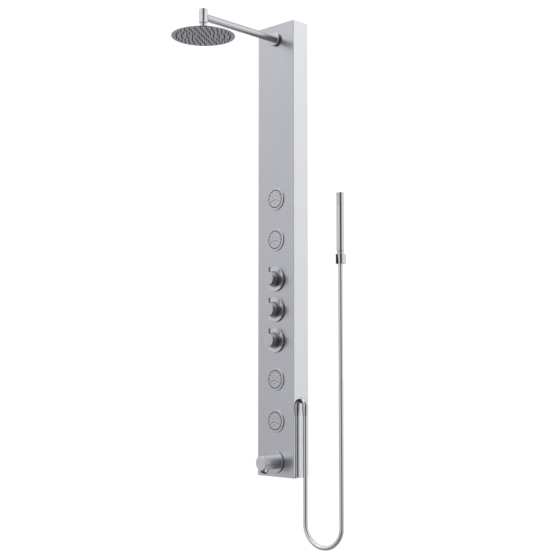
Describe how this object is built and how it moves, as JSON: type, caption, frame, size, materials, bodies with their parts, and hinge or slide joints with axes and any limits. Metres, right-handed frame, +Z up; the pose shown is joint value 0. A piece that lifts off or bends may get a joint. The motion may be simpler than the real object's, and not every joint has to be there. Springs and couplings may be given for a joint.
{
  "type": "shower column",
  "caption": "Wall-mounted shower column: a tall folded steel panel with a rain head on an arm, swivelling body jets, turning knobs, a tub spout and a handset on a hose.",
  "frame": {"origin": "on the wall plane, midway between the upper wall bracket's two screw holes", "axes": "+Z up, +Y into the wall, -Y out of the panel's front, +X towards the side outlet and the handset"},
  "size_m": [0.3555, 0.494, 1.7198],
  "materials": {
    "panel_steel": "fine vertical brushing, satin",
    "fitting_steel": "satin",
    "polished_chrome": "polished",
    "head_steel": "satin, polished rim",
    "grey_silicone": "moulded, matte",
    "galvanised_steel": "zinc plated",
    "brass": "machined",
    "copper_pipe": "drawn copper",
    "white_plastic": "moulded",
    "black_rubber": "matte",
    "black_plastic": "moulded, satin",
    "hose_steel": "smooth silver sleeve"
  },
  "bodies": {
    "root": {"panel_shell": "panel_steel", "knob_collars": "panel_steel", "jet_bezel_top": "fitting_steel", "jet_bezel_high": "fitting_steel", "jet_bezel_low": "fitting_steel", "jet_bezel_bottom": "fitting_steel", "knob_base_top": "fitting_steel", "knob_base_middle": "fitting_steel", "knob_base_bottom": "fitting_steel", "spout_flange": "fitting_steel", "spout_body": "fitting_steel", "arm_flange": "fitting_steel", "shower_arm": "polished_chrome", "arm_elbow": "polished_chrome", "ball_stud": "polished_chrome", "spout_aerator": "polished_chrome", "outlet_elbow": "polished_chrome", "hose_nut_lower": "polished_chrome", "clip_body": "polished_chrome", "upper_wall_bracket": "galvanised_steel", "lower_wall_bracket": "galvanised_steel", "hanger_bars": "galvanised_steel", "jet_lock_nuts": "brass", "shank_lock_nuts": "brass", "valve_manifold": "brass", "inlet_unions": "brass", "riser_pipe": "copper_pipe", "spout_pipe": "copper_pipe", "handset_pipe": "copper_pipe", "jet_supply_pipe": "copper_pipe", "jet_housings": "white_plastic", "valve_cartridges": "white_plastic", "clip_liner": "black_plastic", "shower_hose": "hose_steel"},
    "head_ring": {"ball_seal": "black_rubber"},
    "rain_head": {"swivel_nut": "polished_chrome", "head_top_shell": "head_steel", "head_face_plate": "head_steel", "head_nozzle_mat": "grey_silicone"},
    "jet_ring_top": {"jet_seal_top": "black_rubber"},
    "jet_top": {"jet_nozzle_top": "fitting_steel"},
    "jet_ring_high": {"jet_seal_high": "black_rubber"},
    "jet_high": {"jet_nozzle_high": "fitting_steel"},
    "jet_ring_low": {"jet_seal_low": "black_rubber"},
    "jet_low": {"jet_nozzle_low": "fitting_steel"},
    "jet_ring_bottom": {"jet_seal_bottom": "black_rubber"},
    "jet_bottom": {"jet_nozzle_bottom": "fitting_steel"},
    "knob_top": {"knob_handle_top": "fitting_steel", "knob_pin_top": "fitting_steel", "valve_spindle_top": "brass"},
    "knob_middle": {"knob_handle_middle": "fitting_steel", "knob_pin_middle": "fitting_steel", "valve_spindle_middle": "brass"},
    "knob_bottom": {"knob_handle_bottom": "fitting_steel", "knob_pin_bottom": "fitting_steel", "valve_spindle_bottom": "brass"},
    "hose_end": {"hose_nut_upper": "polished_chrome"},
    "handset": {"handset_body": "polished_chrome", "handset_spray_face": "fitting_steel"}
  },
  "joints": [
    {"name": "head_spin", "type": "hinge", "parent": "root", "child": "head_ring", "pos_m": [0, -0.394, 0.037], "axis": [0, 0, 1], "continuous": true},
    {"name": "head_tilt", "type": "hinge", "parent": "head_ring", "child": "rain_head", "pos_m": [0, -0.394, 0.037], "axis": [1, 0, 0], "range_deg": [-12, 12]},
    {"name": "jet_spin_top", "type": "hinge", "parent": "root", "child": "jet_ring_top", "pos_m": [0, -0.062, -0.47], "axis": [0, -1, 0], "continuous": true},
    {"name": "jet_tilt_top", "type": "hinge", "parent": "jet_ring_top", "child": "jet_top", "pos_m": [0, -0.062, -0.47], "axis": [1, 0, 0], "range_deg": [-10, 10]},
    {"name": "jet_spin_high", "type": "hinge", "parent": "root", "child": "jet_ring_high", "pos_m": [0, -0.062, -0.606], "axis": [0, -1, 0], "continuous": true},
    {"name": "jet_tilt_high", "type": "hinge", "parent": "jet_ring_high", "child": "jet_high", "pos_m": [0, -0.062, -0.606], "axis": [1, 0, 0], "range_deg": [-10, 10]},
    {"name": "jet_spin_low", "type": "hinge", "parent": "root", "child": "jet_ring_low", "pos_m": [0, -0.062, -1.065], "axis": [0, -1, 0], "continuous": true},
    {"name": "jet_tilt_low", "type": "hinge", "parent": "jet_ring_low", "child": "jet_low", "pos_m": [0, -0.062, -1.065], "axis": [1, 0, 0], "range_deg": [-10, 10]},
    {"name": "jet_spin_bottom", "type": "hinge", "parent": "root", "child": "jet_ring_bottom", "pos_m": [0, -0.062, -1.2], "axis": [0, -1, 0], "continuous": true},
    {"name": "jet_tilt_bottom", "type": "hinge", "parent": "jet_ring_bottom", "child": "jet_bottom", "pos_m": [0, -0.062, -1.2], "axis": [1, 0, 0], "range_deg": [-10, 10]},
    {"name": "temperature_turn", "type": "hinge", "parent": "root", "child": "knob_top", "pos_m": [0, -0.068, -0.737], "axis": [0, -1, 0], "range_deg": [-60, 60]},
    {"name": "flow_turn", "type": "hinge", "parent": "root", "child": "knob_middle", "pos_m": [0, -0.068, -0.838], "axis": [0, -1, 0], "range_deg": [0, 90]},
    {"name": "diverter_turn", "type": "hinge", "parent": "root", "child": "knob_bottom", "pos_m": [0, -0.068, -0.938], "axis": [0, -1, 0], "continuous": true},
    {"name": "handset_lift", "type": "slide", "parent": "root", "child": "hose_end", "axis": [0, 0, 1], "range_m": [0, 0.08]},
    {"name": "handset_turn", "type": "hinge", "parent": "hose_end", "child": "handset", "pos_m": [0.24, -0.02, -0.664], "axis": [0, 0, 1], "continuous": true}
  ]
}
